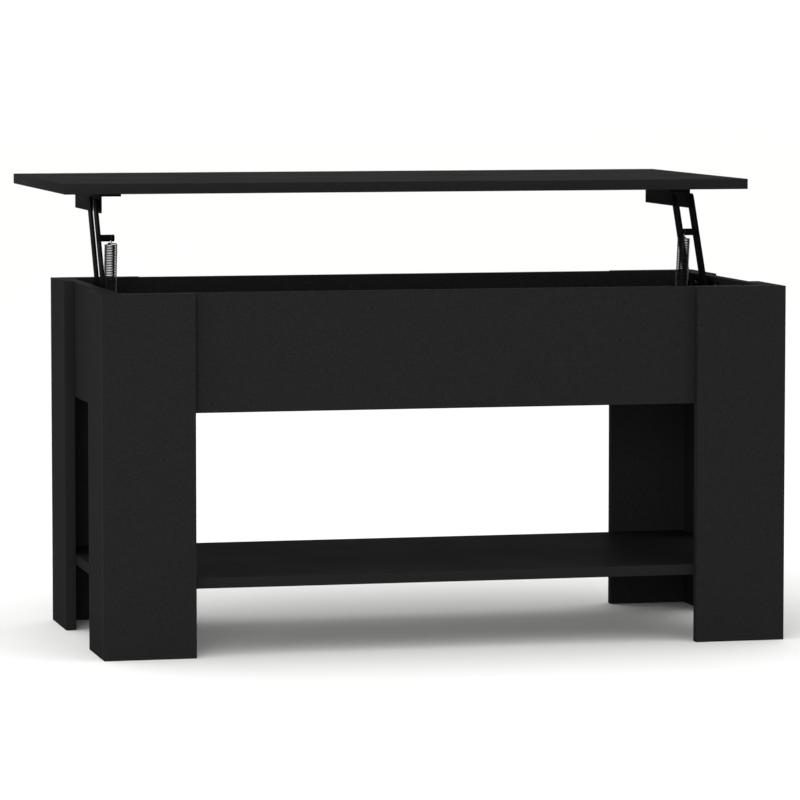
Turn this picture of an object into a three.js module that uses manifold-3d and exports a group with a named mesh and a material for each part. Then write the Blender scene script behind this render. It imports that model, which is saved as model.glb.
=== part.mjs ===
import * as THREE from "three";
import { mergeVertices } from "three/addons/utils/BufferGeometryUtils.js";
import Module from "manifold-3d";

// A lift-top coffee table: a storage box on four L-shaped board legs, a low shelf, and a top that
// swings up and back on two pairs of parallel arms. Millimetres, +Z up, +X along the length.
// It is modelled with the top raised, which is how the arms rest against their stops.

// Boards
const board = 15;
const topLength = 1010;
const topDepth = 490;
const boxLength = 980;
const boxDepth = 455;
const legHeight = 505;
const legFrontWidth = 130;
const legSideDepth = 110;
const apronHeight = 166;
const shelfTop = 110;
const floorLift = 3;

// Lifting mechanism, in the plane of the arms (Y and Z)
const armLength = 165;
const armWidth = 24;
const armEndReach = 7;
const armEndCorner = 10;
const armSteel = 3;
const armSpacing = 71;
const raisedLean = THREE.MathUtils.degToRad(28.8);
const basePivot = { y: 11.2, z: 472.4 };
const pivotBelowTop = 17;
const pivotFromTopEdge = 91.9;
const springPinOnArm = 110.4;
const lowerPin = { y: 84, z: 430 };

// Mechanism stack, measured inwards from the inner face of a side panel
const steel = 2.5;
const flangeSteel = 2;
const gap = 0.3;
const webDepth = 12.4;
const springDepth = 32.2;
const pinEndDepth = 36.9;

// Steel sections
const flangeHeight = 30;
const flangeWidth = 30;
const flangeLip = 4;
const bracketFrontOverhang = 14.1;
const bracketLength = 226.8;
const plateFront = -12;
const plateBack = 112;
const plateBottom = 408;
const plateTop = 498;
const tabHeight = 12;

// Round pieces
const roundSides = 20;
const pinRadius = 4.2;
const springPinRadius = 5;
const grooveRadius = 3.2;
const headRadius = 6.5;
const springPinHead = 7;
const collarRadius = 6;
const headHeight = 1.2;
const holeClearance = 0.3;
const springRadius = 9.5;
const springWire = 2.2;
const coilFromPin = 8.5;
const screwRadius = 2;
const screwHeadRadius = 4.2;
const screwHeadHeight = 2.1;
const screwInBoard = 11;
const camRadius = 7.5;
const camDepth = 12.5;
const camFromEdge = 34;

// Worked out from the above
const apronBottom = legHeight - apronHeight;
const panelOuterX = boxLength / 2 - board;
const panelInnerX = panelOuterX - board;
const apronOuterY = boxDepth / 2 - board;
const apronInnerY = apronOuterY - board;
const topPivot = {
  y: basePivot.y + armLength * Math.sin(raisedLean),
  z: basePivot.z + armLength * Math.cos(raisedLean),
};
const raisedUnderside = topPivot.z + pivotBelowTop;
const raisedFrontEdge = topPivot.y - pivotFromTopEdge;
const raisedBackEdge = raisedFrontEdge + topDepth;
const footprintMiddle = (raisedBackEdge - boxDepth / 2) / 2;
const webInner = panelInnerX - webDepth;
const frontArmOuter = webInner - gap;
const frontArmInner = frontArmOuter - armSteel;
const rearArmOuter = frontArmInner - gap;
const rearArmInner = rearArmOuter - armSteel;
const flangeOuter = rearArmInner - gap;
const flangeInner = flangeOuter - flangeSteel;
const springPlane = panelInnerX - springDepth;

const blackBoard = { color: 0x262626, roughness: 0.6, metalness: 0 };
const blackSteel = { color: 0x0d0d0d, roughness: 0.45, metalness: 0.6 };
const blackZinc = { color: 0x2c2d2e, roughness: 0.45, metalness: 1 };
const castZinc = { color: 0x9a9c9e, roughness: 0.35, metalness: 1 };
const blackWire = { color: 0x262627, roughness: 0.35, metalness: 1 };

const wasm = await Module();
wasm.setup();

function toSolid(geometry) {
  const bare = geometry.index ? geometry.toNonIndexed() : geometry.clone();
  bare.deleteAttribute("normal");
  bare.deleteAttribute("uv");
  const merged = mergeVertices(bare, 1e-4);
  return new wasm.Manifold(new wasm.Mesh({
    numProp: 3,
    vertProperties: merged.attributes.position.array,
    triVerts: new Uint32Array(merged.index.array),
  }));
}

function toGeometry(solid) {
  const mesh = solid.getMesh();
  const geometry = new THREE.BufferGeometry();
  geometry.setAttribute("position", new THREE.BufferAttribute(mesh.vertProperties, 3));
  geometry.setIndex(new THREE.BufferAttribute(mesh.triVerts, 1));
  geometry.computeVertexNormals();
  return geometry;
}

function cut(geometry, ...tools) {
  return toGeometry(tools.reduce((solid, tool) => solid.subtract(toSolid(tool)), toSolid(geometry)));
}

function join(geometry, ...others) {
  return toGeometry(others.reduce((solid, other) => solid.add(toSolid(other)), toSolid(geometry)));
}

function addPiece(group, name, geometry, look, x = 0, y = 0, z = 0) {
  const mesh = new THREE.Mesh(geometry, new THREE.MeshStandardMaterial(look));
  mesh.name = name;
  mesh.position.set(x, y, z);
  group.add(mesh);
  return mesh;
}

// A box given by its lowest and highest corners.
function block(low, high) {
  const size = high.map((value, axis) => value - low[axis]);
  const geometry = new THREE.BoxGeometry(...size);
  geometry.translate(low[0] + size[0] / 2, low[1] + size[1] / 2, low[2] + size[2] / 2);
  return geometry;
}

// A cylinder along X, Y or Z from one coordinate to another, centred on the other two.
function rod(axis, radius, from, to, centreA, centreB) {
  const geometry = new THREE.CylinderGeometry(radius, radius, to - from, roundSides);
  if (axis === "x") {
    geometry.rotateZ(-Math.PI / 2);
    geometry.translate((from + to) / 2, centreA, centreB);
  } else {
    geometry.rotateX(Math.PI / 2);
    geometry.translate(centreA, centreB, (from + to) / 2);
  }
  return geometry;
}

// An outline drawn in Y and Z, thickened along X between two distances from the middle of the table.
function plateInYZ(shape, side, inner, outer) {
  const geometry = new THREE.ExtrudeGeometry(shape, {
    depth: outer - inner,
    bevelEnabled: false,
    curveSegments: roundSides / 2,
  });
  const turn = new THREE.Matrix4().makeBasis(
    new THREE.Vector3(0, 1, 0),
    new THREE.Vector3(0, 0, 1),
    new THREE.Vector3(1, 0, 0),
  );
  geometry.applyMatrix4(turn);
  geometry.translate(side > 0 ? inner : -outer, 0, 0);
  return geometry;
}

// An outline drawn in X and Z, run along Y.
function sectionAlongY(points, front, back) {
  const geometry = new THREE.ExtrudeGeometry(new THREE.Shape(points), {
    depth: back - front,
    bevelEnabled: false,
  });
  geometry.rotateX(Math.PI / 2);
  geometry.translate(0, back, 0);
  return geometry;
}

// A turned piece along X. Its steps are [radius, distance from the middle of the table].
function turnedAlongX(steps, side) {
  const first = steps[0];
  const last = steps[steps.length - 1];
  const outline = [[0, first[1]], ...steps, [0, last[1]]];
  const geometry = new THREE.LatheGeometry(outline.map(([r, d]) => new THREE.Vector2(r, d)), roundSides);
  geometry.rotateZ(-side * Math.PI / 2);
  return geometry;
}

function crossHole(side, inner, outer, y, z, radius) {
  const from = side > 0 ? inner - 1 : -outer - 1;
  return rod("x", radius, from, from + outer - inner + 2, y, z);
}

// A flat bar with rounded corners, standing on its pivot, with a hole for each pin: [height, pin radius].
function armOutline(holes) {
  const across = armWidth / 2 - armEndCorner;
  const high = armLength + armEndReach - armEndCorner;
  const low = armEndCorner - armEndReach;
  const shape = new THREE.Shape();
  shape.moveTo(armWidth / 2, low);
  shape.absarc(across, high, armEndCorner, 0, Math.PI / 2, false);
  shape.absarc(-across, high, armEndCorner, Math.PI / 2, Math.PI, false);
  shape.absarc(-across, low, armEndCorner, Math.PI, 1.5 * Math.PI, false);
  shape.absarc(across, low, armEndCorner, 1.5 * Math.PI, 2 * Math.PI, false);
  for (const [height, radius] of holes) {
    const hole = new THREE.Path();
    hole.absarc(0, height, radius + holeClearance, 0, 2 * Math.PI, true);
    shape.holes.push(hole);
  }
  return shape;
}

// The eye of a spring: a loop in the groove of its pin, with a shank that runs to the coil.
// direction is 1 when the coil lies above the pin and -1 when it lies below.
function springEye(side, shankLength, direction) {
  const inside = grooveRadius + holeClearance;
  const shape = new THREE.Shape();
  shape.absarc(0, 0, inside + springWire, 0, 2 * Math.PI, false);
  const hole = new THREE.Path();
  hole.absarc(0, 0, inside, 0, 2 * Math.PI, true);
  shape.holes.push(hole);
  const half = springWire / 2;
  const loop = plateInYZ(shape, side, springPlane - half, springPlane + half);
  const near = direction * (inside + half);
  const far = direction * shankLength;
  const shank = block(
    [side * springPlane - half, -springWire, Math.min(near, far)],
    [side * springPlane + half, springWire, Math.max(near, far)],
  );
  return join(loop, shank);
}

// A pin that holds a spring's eye in a groove near its inner end, riveted through the plate at its outer end.
function springPin(side, plateOuter) {
  const end = panelInnerX - pinEndDepth;
  const chamfer = 0.6;
  const grooveHalf = springWire / 2 + 0.2;
  return turnedAlongX([
    [springPinRadius - chamfer, end],
    [springPinRadius, end + chamfer],
    [springPinRadius, springPlane - grooveHalf],
    [grooveRadius, springPlane - grooveHalf],
    [grooveRadius, springPlane + grooveHalf],
    [springPinRadius, springPlane + grooveHalf],
    [springPinRadius, plateOuter],
    [springPinHead, plateOuter],
    [springPinHead, plateOuter + headHeight],
  ], side);
}

function wallScrew(side) {
  const head = panelInnerX - steel;
  return turnedAlongX([
    [screwHeadRadius * 0.6, head - screwHeadHeight],
    [screwHeadRadius, head - screwHeadHeight * 0.5],
    [screwHeadRadius, head],
    [screwRadius, head],
    [screwRadius, panelInnerX + screwInBoard - 2],
    [screwRadius * 0.3, panelInnerX + screwInBoard],
  ], side);
}

function topScrew(bracketUnderside) {
  const outline = [
    [0, -screwHeadHeight],
    [screwHeadRadius * 0.6, -screwHeadHeight],
    [screwHeadRadius, -screwHeadHeight * 0.5],
    [screwHeadRadius, 0],
    [screwRadius, 0],
    [screwRadius, flangeSteel + screwInBoard - 2],
    [screwRadius * 0.3, flangeSteel + screwInBoard],
    [0, flangeSteel + screwInBoard],
  ];
  const geometry = new THREE.LatheGeometry(outline.map(([r, h]) => new THREE.Vector2(r, h)), roundSides);
  geometry.rotateX(Math.PI / 2);
  geometry.translate(0, 0, bracketUnderside);
  return geometry;
}

const table = new THREE.Group();
table.position.y = -footprintMiddle;

const sides = [
  { label: "left", side: -1 },
  { label: "right", side: 1 },
];
const ends = [
  { label: "front", end: -1 },
  { label: "back", end: 1 },
];
const wallScrewPlaces = [
  { y: plateFront + 14, z: plateTop - tabHeight / 2 },
  { y: plateBack - 14, z: plateTop - tabHeight / 2 },
  { y: (plateFront + plateBack) / 2, z: plateBottom + tabHeight / 2 },
];
const topScrewAlong = [8, bracketLength / 2, bracketLength - 14];
const topScrewX = flangeOuter - flangeWidth / 2 - 3;

// Storage box
for (const { label, end } of ends) {
  const y = end * (apronOuterY - board / 2);
  const wall = new THREE.BoxGeometry(2 * panelOuterX, board, apronHeight);
  addPiece(table, `apron_${label}`, wall, blackBoard, 0, y, apronBottom + apronHeight / 2);
}

for (const { label, side } of sides) {
  const near = Math.min(side * panelInnerX, side * panelOuterX);
  const panel = block(
    [near, -apronInnerY, apronBottom],
    [near + board, apronInnerY, legHeight],
  );
  const holes = wallScrewPlaces.map(({ y, z }) => {
    const from = side > 0 ? panelInnerX - 1 : -panelInnerX - screwInBoard - 1;
    return rod("x", screwRadius + holeClearance, from, from + screwInBoard + 2, y, z);
  });
  addPiece(table, `side_panel_${label}`, cut(panel, ...holes), blackBoard);
}

const boxFloor = new THREE.BoxGeometry(2 * panelInnerX, 2 * apronInnerY, board);
addPiece(table, "storage_bottom", boxFloor, blackBoard, 0, 0, apronBottom + floorLift + board / 2);

// Legs: a wide board at the front or back, covering the edge of a side board
for (const { label: endLabel, end } of ends) {
  for (const { label: sideLabel, side } of sides) {
    const wide = new THREE.BoxGeometry(legFrontWidth, board, legHeight);
    const wideX = side * (boxLength / 2 - legFrontWidth / 2);
    const wideY = end * (boxDepth / 2 - board / 2);
    addPiece(table, `leg_${endLabel}_${sideLabel}_wide`, wide, blackBoard, wideX, wideY, legHeight / 2);
    const narrow = new THREE.BoxGeometry(board, legSideDepth, legHeight);
    const narrowX = side * (boxLength / 2 - board / 2);
    const narrowY = end * (apronOuterY - legSideDepth / 2);
    addPiece(table, `leg_${endLabel}_${sideLabel}_side`, narrow, blackBoard, narrowX, narrowY, legHeight / 2);
  }
}

// Shelf, held at each leg by a cam fitting let in from below
const shelfBottom = shelfTop - board;
const camPlaces = ends.flatMap(({ label: endLabel, end }) => sides.map(({ label: sideLabel, side }) => ({
  name: `shelf_cam_${endLabel}_${sideLabel}`,
  x: side * (boxLength / 2 - legFrontWidth / 2),
  y: end * (apronOuterY - camFromEdge),
})));
const shelfBoard = block([-panelOuterX, -apronOuterY, shelfBottom], [panelOuterX, apronOuterY, shelfTop]);
const camHoles = camPlaces.map(({ x, y }) => (
  rod("z", camRadius + holeClearance, shelfBottom - 1, shelfBottom + camDepth + holeClearance, x, y)
));
addPiece(table, "shelf", cut(shelfBoard, ...camHoles), blackBoard);
for (const { name, x, y } of camPlaces) {
  const cam = rod("z", camRadius, 0, camDepth, 0, 0);
  const slot = block([-camRadius * 0.6, -1, -1], [camRadius * 0.6, 1, 2]);
  addPiece(table, name, cut(cam, slot), castZinc, x, y, shelfBottom);
}

// Tabletop, in a group whose origin is the front pivot under it
const lifted = new THREE.Group();
lifted.position.set(0, topPivot.y, topPivot.z);
table.add(lifted);
const bracketUnderside = pivotBelowTop - flangeSteel;
const topBoard = block(
  [-topLength / 2, -pivotFromTopEdge, pivotBelowTop],
  [topLength / 2, topDepth - pivotFromTopEdge, pivotBelowTop + board],
);
const topHoles = sides.flatMap(({ side }) => topScrewAlong.map((along) => {
  const y = along - bracketFrontOverhang;
  const end = pivotBelowTop + screwInBoard + 1;
  return rod("z", screwRadius + holeClearance, pivotBelowTop - 1, end, side * topScrewX, y);
}));
addPiece(lifted, "tabletop", cut(topBoard, ...topHoles), blackBoard);

for (const { label, side } of sides) {
  // Base bracket: a folded plate that stands off the side panel, with a round stop for the front arm
  const webOuter = webInner + steel;
  const tabInner = panelInnerX - steel;
  const section = [
    [panelInnerX, plateTop],
    [tabInner, plateTop],
    [tabInner, plateTop - tabHeight],
    [webInner, plateTop - tabHeight],
    [webInner, plateBottom + tabHeight],
    [tabInner, plateBottom + tabHeight],
    [tabInner, plateBottom],
    [panelInnerX, plateBottom],
    [panelInnerX, plateBottom + tabHeight + steel],
    [webOuter, plateBottom + tabHeight + steel],
    [webOuter, plateTop - tabHeight - steel],
    [panelInnerX, plateTop - tabHeight - steel],
  ].map(([x, z]) => new THREE.Vector2(side * x, z));
  const plate = sectionAlongY(section, plateFront, plateBack);
  const stopRadius = 3;
  const stopAlong = 12;
  const stopOut = armWidth / 2 + stopRadius + holeClearance;
  const stopY = basePivot.y + stopAlong * Math.sin(raisedLean) + stopOut * Math.cos(raisedLean);
  const stopZ = basePivot.z + stopAlong * Math.cos(raisedLean) - stopOut * Math.sin(raisedLean);
  const stopFrom = side > 0 ? frontArmInner : -webInner - 1;
  const stop = rod("x", stopRadius, stopFrom, stopFrom + webInner + 1 - frontArmInner, stopY, stopZ);
  const pinHoles = [
    [basePivot.y, basePivot.z, pinRadius],
    [basePivot.y + armSpacing, basePivot.z, pinRadius],
    [lowerPin.y, lowerPin.z, springPinRadius],
  ].map(([y, z, radius]) => crossHole(side, webInner, webOuter, y, z, radius + holeClearance));
  const screwHoles = wallScrewPlaces.map(({ y, z }) => (
    crossHole(side, tabInner, panelInnerX, y, z, screwRadius + holeClearance)
  ));
  const basePlate = cut(join(plate, stop), ...pinHoles, ...screwHoles);
  addPiece(table, `${label}_base_bracket`, basePlate, blackSteel);
  wallScrewPlaces.forEach(({ y, z }, index) => {
    addPiece(table, `${label}_base_screw_${index + 1}`, wallScrew(side), blackZinc, 0, y, z);
  });

  // Top bracket: an angle under the top, with its flange turned down at the front end, and notched
  // where the spring pin comes up when it is closed
  const angleFront = -bracketFrontOverhang;
  const angle = sectionAlongY([
    [flangeOuter, pivotBelowTop],
    [flangeOuter - flangeWidth, pivotBelowTop],
    [flangeOuter - flangeWidth, bracketUnderside],
    [flangeInner, bracketUnderside],
    [flangeInner, pivotBelowTop - flangeHeight],
    [flangeOuter, pivotBelowTop - flangeHeight],
  ].map(([x, z]) => new THREE.Vector2(side * x, z)), angleFront, angleFront + bracketLength);
  const lipEnds = [side * (flangeOuter - flangeWidth), side * (flangeInner + flangeSteel / 2)];
  const lip = block(
    [Math.min(...lipEnds), angleFront, bracketUnderside - flangeLip],
    [Math.max(...lipEnds), angleFront + flangeSteel, bracketUnderside + flangeSteel / 2],
  );
  const pinBelowPivot = armLength - springPinOnArm;
  const notchFront = pinBelowPivot - 9;
  const notchBack = pinBelowPivot + 7.5;
  const notchTop = 3;
  const notch = block(
    [Math.min(side * flangeInner, side * flangeOuter) - 1, notchFront, -flangeHeight],
    [Math.max(side * flangeInner, side * flangeOuter) + 1, notchBack, notchTop],
  );
  const bracketHoles = [
    crossHole(side, flangeInner, flangeOuter, 0, 0, pinRadius + holeClearance),
    crossHole(side, flangeInner, flangeOuter, armSpacing, 0, pinRadius + holeClearance),
    ...topScrewAlong.map((along) => rod(
      "z",
      screwRadius + holeClearance,
      bracketUnderside - 1,
      pivotBelowTop + 1,
      side * topScrewX,
      along - bracketFrontOverhang,
    )),
  ];
  addPiece(lifted, `${label}_top_bracket`, cut(join(angle, lip), notch, ...bracketHoles), blackSteel);
  topScrewAlong.forEach((along, index) => {
    const name = `${label}_top_screw_${index + 1}`;
    const y = along - bracketFrontOverhang;
    addPiece(lifted, name, topScrew(bracketUnderside), blackZinc, side * topScrewX, y, 0);
  });

  // Arms, each standing in a group at its base pivot that leans back to the raised position
  const rearArmPins = [[0, pinRadius], [armLength, pinRadius]];
  const frontArmPins = [...rearArmPins, [springPinOnArm, springPinRadius]];
  const frontArm = new THREE.Group();
  frontArm.position.set(0, basePivot.y, basePivot.z);
  frontArm.rotation.x = -raisedLean;
  table.add(frontArm);
  const rearArm = frontArm.clone();
  rearArm.position.y += armSpacing;
  table.add(rearArm);
  const frontBar = plateInYZ(armOutline(frontArmPins), side, frontArmInner, frontArmOuter);
  addPiece(frontArm, `${label}_front_arm`, frontBar, blackSteel);
  const rearBar = plateInYZ(armOutline(rearArmPins), side, rearArmInner, rearArmOuter);
  addPiece(rearArm, `${label}_rear_arm`, rearBar, blackSteel);

  // Pivot rivets: a collar keeps each arm in its own plane, and the ends that an arm sweeps past are flush
  const play = 0.1;
  const frontTopRivet = turnedAlongX([
    [headRadius, flangeInner - headHeight],
    [headRadius, flangeInner],
    [pinRadius, flangeInner],
    [pinRadius, flangeOuter + play],
    [collarRadius, flangeOuter + play],
    [collarRadius, frontArmInner - play],
    [pinRadius, frontArmInner - play],
    [pinRadius, frontArmOuter + play],
    [headRadius, frontArmOuter + play],
    [headRadius, frontArmOuter + play + headHeight],
  ], side);
  addPiece(lifted, `${label}_front_top_rivet`, frontTopRivet, blackSteel);
  const rearTopRivet = turnedAlongX([
    [headRadius, flangeInner - headHeight],
    [headRadius, flangeInner],
    [pinRadius, flangeInner],
    [pinRadius, rearArmOuter],
  ], side);
  addPiece(lifted, `${label}_rear_top_rivet`, rearTopRivet, blackSteel, 0, armSpacing, 0);
  const frontBaseRivet = turnedAlongX([
    [pinRadius, frontArmInner],
    [pinRadius, webOuter],
    [headRadius, webOuter],
    [headRadius, webOuter + headHeight],
  ], side);
  addPiece(table, `${label}_front_base_rivet`, frontBaseRivet, blackSteel, 0, basePivot.y, basePivot.z);
  const rearBaseRivet = turnedAlongX([
    [headRadius, rearArmInner - play - headHeight],
    [headRadius, rearArmInner - play],
    [pinRadius, rearArmInner - play],
    [pinRadius, rearArmOuter + play],
    [collarRadius, rearArmOuter + play],
    [collarRadius, webInner],
    [pinRadius, webInner],
    [pinRadius, webOuter],
    [headRadius, webOuter],
    [headRadius, webOuter + headHeight],
  ], side);
  const rearBaseY = basePivot.y + armSpacing;
  addPiece(table, `${label}_rear_base_rivet`, rearBaseRivet, blackSteel, 0, rearBaseY, basePivot.z);

  // Spring pins: one on the front arm, one on the base bracket
  const upperPin = springPin(side, frontArmOuter);
  addPiece(frontArm, `${label}_upper_spring_pin`, upperPin, blackSteel, 0, 0, springPinOnArm);
  const lowerSpringPin = springPin(side, webOuter);
  addPiece(table, `${label}_lower_spring_pin`, lowerSpringPin, blackSteel, 0, lowerPin.y, lowerPin.z);

  // Spring: the coil's outer shape with its lower eye, and the upper eye as a piece of its own
  const upperPinY = basePivot.y + springPinOnArm * Math.sin(raisedLean);
  const upperPinZ = basePivot.z + springPinOnArm * Math.cos(raisedLean);
  const springLean = Math.atan2(upperPinY - lowerPin.y, upperPinZ - lowerPin.z);
  const springLength = Math.hypot(upperPinY - lowerPin.y, upperPinZ - lowerPin.z);
  const springGroup = new THREE.Group();
  springGroup.position.set(0, lowerPin.y, lowerPin.z);
  springGroup.rotation.x = -springLean;
  table.add(springGroup);
  const coil = rod("z", springRadius, coilFromPin, springLength - coilFromPin, side * springPlane, 0);
  const lowerEye = springEye(side, coilFromPin + 1, 1);
  addPiece(springGroup, `${label}_spring`, join(coil, lowerEye), blackWire);
  const upperEye = springEye(side, coilFromPin - holeClearance, -1);
  addPiece(springGroup, `${label}_spring_hook`, upperEye, blackWire, 0, 0, springLength);
}

export default table;
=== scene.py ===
import math
import bmesh
import bpy
from mathutils import Matrix, Vector


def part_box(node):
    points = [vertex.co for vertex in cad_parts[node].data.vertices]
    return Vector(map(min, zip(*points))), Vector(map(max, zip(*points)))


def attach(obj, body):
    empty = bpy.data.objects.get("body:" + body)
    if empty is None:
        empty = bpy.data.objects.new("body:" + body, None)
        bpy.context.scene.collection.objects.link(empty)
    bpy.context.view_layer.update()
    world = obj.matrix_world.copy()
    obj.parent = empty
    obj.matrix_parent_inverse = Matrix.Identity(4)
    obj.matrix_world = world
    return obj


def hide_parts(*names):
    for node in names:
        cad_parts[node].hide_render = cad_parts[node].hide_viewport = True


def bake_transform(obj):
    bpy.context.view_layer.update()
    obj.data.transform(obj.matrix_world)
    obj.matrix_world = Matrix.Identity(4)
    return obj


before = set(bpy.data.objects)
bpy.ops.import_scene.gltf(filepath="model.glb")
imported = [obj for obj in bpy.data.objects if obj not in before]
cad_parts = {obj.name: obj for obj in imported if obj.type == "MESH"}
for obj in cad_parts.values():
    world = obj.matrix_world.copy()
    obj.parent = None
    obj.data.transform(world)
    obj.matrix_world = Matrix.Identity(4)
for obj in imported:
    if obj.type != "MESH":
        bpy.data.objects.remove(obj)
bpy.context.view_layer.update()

mm = 0.001
sides = {"left": -1, "right": 1}


def hexColour(code):
    # sRGB hex to the linear colour that the shaders use
    channels = [int(code[i:i + 2], 16) / 255 for i in (1, 3, 5)]
    linear = [c / 12.92 if c <= 0.04045 else ((c + 0.055) / 1.055) ** 2.4 for c in channels]
    return (*linear, 1.0)


def perMetre(millimetres):
    # texture scale for a pattern whose cells are this big
    return 1000.0 / millimetres


def addNode(tree, kind, inputs=None, **settings):
    # one node with its settings; an input is a number, a colour or another node's socket
    node = tree.nodes.new(kind)
    for key, value in settings.items():
        setattr(node, key, value)
    for key, value in (inputs or {}).items():
        if isinstance(value, (bpy.types.NodeSocket, list)):
            for source in value if isinstance(value, list) else [value]:
                tree.links.new(source, node.inputs[key])
        else:
            node.inputs[key].default_value = value
    return node


def newObject(name, data):
    thing = bpy.data.objects.new(name, data)
    bpy.context.scene.collection.objects.link(thing)
    return thing


def evaluatedMesh(thing):
    # the object's mesh with its modifiers worked in
    bpy.context.view_layer.update()
    graph = bpy.context.evaluated_depsgraph_get()
    return bpy.data.meshes.new_from_object(thing.evaluated_get(graph))


def shade(mesh, sharpAngle=32):
    # smooth, with a crisp line where the surface turns by more than this many degrees
    mesh.shade_smooth()
    mesh.set_sharp_from_angle(angle=math.radians(sharpAngle))


def meshObject(name, mesh, sharpAngle=32):
    shade(mesh, sharpAngle)
    return newObject(name, mesh)


def closeMesh(mesh, merge=1e-6):
    # welds doubles and points the faces outwards
    work = bmesh.new()
    work.from_mesh(mesh)
    bmesh.ops.remove_doubles(work, verts=work.verts, dist=merge)
    bmesh.ops.recalc_face_normals(work, faces=work.faces)
    work.to_mesh(mesh)
    work.free()
    return mesh


def finishPiece(thing, body, slot, *replaced):
    if not thing.data.materials:
        thing.data.materials.append(finishes[slot])
    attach(thing, body)
    if replaced:
        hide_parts(*replaced)
    return thing


def middle(node):
    low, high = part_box(node)
    return (low + high) / 2


def turnedMesh(name, profile, facets=40):
    # spins (radius, height) pairs about Z; the first and last pair lie on the axis
    work = bmesh.new()
    turns = [2 * math.pi * step / facets for step in range(facets)]
    nearlyZero = 1e-9
    rings = []
    for radius, height in profile:
        if radius < nearlyZero:
            rings.append([work.verts.new((0, 0, height))])
            continue
        rings.append([work.verts.new((radius * math.cos(a), radius * math.sin(a), height)) for a in turns])
    for lower, upper in zip(rings, rings[1:]):
        for step in range(facets):
            after = (step + 1) % facets
            corners = [lower[step % len(lower)], lower[after % len(lower)],
                       upper[after % len(upper)], upper[step % len(upper)]]
            work.faces.new(list(dict.fromkeys(corners)))
    mesh = bpy.data.meshes.new(name)
    work.to_mesh(mesh)
    work.free()
    return closeMesh(mesh)


def easeCorners(profile, cut):
    # takes a small flat off every corner of a turned profile
    eased = [profile[0]]
    largestShare = 0.4  # of a side's length, so that two flats never meet
    for before, corner, after in zip(profile, profile[1:], profile[2:]):
        for other in (before, after):
            away = Vector(other) - Vector(corner)
            reach = min(cut, away.length * largestShare)
            eased.append(tuple(Vector(corner) + away.normalized() * reach))
    return eased + [profile[-1]]


def arcPoints(centre, radius, start, end, steps):
    # points on an arc, angles in degrees
    angles = [math.radians(start + (end - start) * step / steps) for step in range(steps + 1)]
    return [(centre[0] + radius * math.cos(a), centre[1] + radius * math.sin(a)) for a in angles]


def sheetMesh(name, outlines, thickness, eased):
    # a plate with eased edges, flat in X and Y; the outlines after the first are holes in it
    shape = bpy.data.curves.new(name, "CURVE")
    shape.dimensions = "2D"
    shape.fill_mode = "BOTH"
    shape.extrude = thickness / 2 - eased
    shape.bevel_depth = eased
    shape.bevel_resolution = 2
    shape.offset = -eased
    for outline in outlines:
        spline = shape.splines.new("POLY")
        spline.points.add(len(outline) - 1)
        for point, (across, up) in zip(spline.points, outline):
            point.co = (across, up, 0, 1)
        spline.use_cyclic_u = True
    holder = newObject(name, shape)
    mesh = evaluatedMesh(holder)
    bpy.data.objects.remove(holder)
    mesh.name = name
    return closeMesh(mesh, merge=1e-5)


def foldedOutline(points, thickness, bend, steps=6):
    # the section of a folded sheet: a line through its middle with rounded bends, given its thickness
    line = []
    points = [Vector(point) for point in points]
    for place, point in enumerate(points):
        before = (point - points[place - 1]).normalized() if place else None
        after = (points[place + 1] - point).normalized() if place + 1 < len(points) else None
        if before is None or after is None:
            way = after or before
            line.append((point, Vector((-way.y, way.x))))
            continue
        turn = math.atan2(before.x * after.y - before.y * after.x, before.dot(after))
        inside = math.copysign(bend, turn)
        start = point - before * bend * math.tan(abs(turn) / 2)
        normal = Vector((-before.y, before.x))
        centre = start + normal * inside
        for step in range(steps + 1):
            turned = Matrix.Rotation(turn * step / steps, 2) @ normal
            line.append((centre - turned * inside, turned))
    left = [tuple(point + normal * thickness / 2) for point, normal in line]
    right = [tuple(point - normal * thickness / 2) for point, normal in reversed(line)]
    return left + right


def carve(thing, tools, operation="DIFFERENCE"):
    # cuts one mesh with others, which are used up
    for tool in tools:
        modifier = thing.modifiers.new("carve", "BOOLEAN")
        modifier.operation = operation
        modifier.solver = "EXACT"
        modifier.object = tool
    carved = evaluatedMesh(thing)
    thing.modifiers.clear()
    thing.data = carved
    for tool in tools:
        bpy.data.objects.remove(tool)
    shade(carved)


def joinTo(thing, mesh):
    # adds a second mesh to an object's own
    work = bmesh.new()
    work.from_mesh(thing.data)
    work.from_mesh(mesh)
    joined = bpy.data.meshes.new(thing.name)
    work.to_mesh(joined)
    work.free()
    shade(joined)
    thing.data = joined


def placed(mesh, matrix):
    mesh.transform(matrix)
    return closeMesh(mesh)


def axesMatrix(acrossTo, upTo, outTo, origin=(0, 0, 0)):
    # sends a mesh's own X, Y and Z to the given directions
    return Matrix.Translation(origin) @ Matrix((acrossTo, upTo, outTo)).transposed().to_4x4()


def rodTool(axisTo, origin, radius, length, facets=32):
    # a plain cylinder for cutting, from a point along a direction
    mesh = turnedMesh("rodTool", [(0, 0), (radius, 0), (radius, length), (0, length)], facets)
    turn = Vector((0, 0, 1)).rotation_difference(Vector(axisTo)).to_matrix().to_4x4()
    mesh.transform(Matrix.Translation(origin) @ turn)
    return newObject("rodTool", mesh)


def newTree(name, **sizes):
    # a geometry tree with one named input per size, which is returned with its sockets
    tree = bpy.data.node_groups.new(name, "GeometryNodeTree")
    tree.interface.new_socket("Geometry", in_out="INPUT", socket_type="NodeSocketGeometry")
    tree.interface.new_socket("Geometry", in_out="OUTPUT", socket_type="NodeSocketGeometry")
    for label, value in sizes.items():
        kind = "NodeSocketInt" if isinstance(value, int) else "NodeSocketFloat"
        tree.interface.new_socket(label, in_out="INPUT", socket_type=kind).default_value = value
    given = addNode(tree, "NodeGroupInput").outputs
    return tree, given


def treeSizes(shape):
    # a dictionary of millimetres as a tree's inputs, in metres
    return {label[0].upper() + label[1:]: size * mm for label, size in shape.items()}


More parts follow.
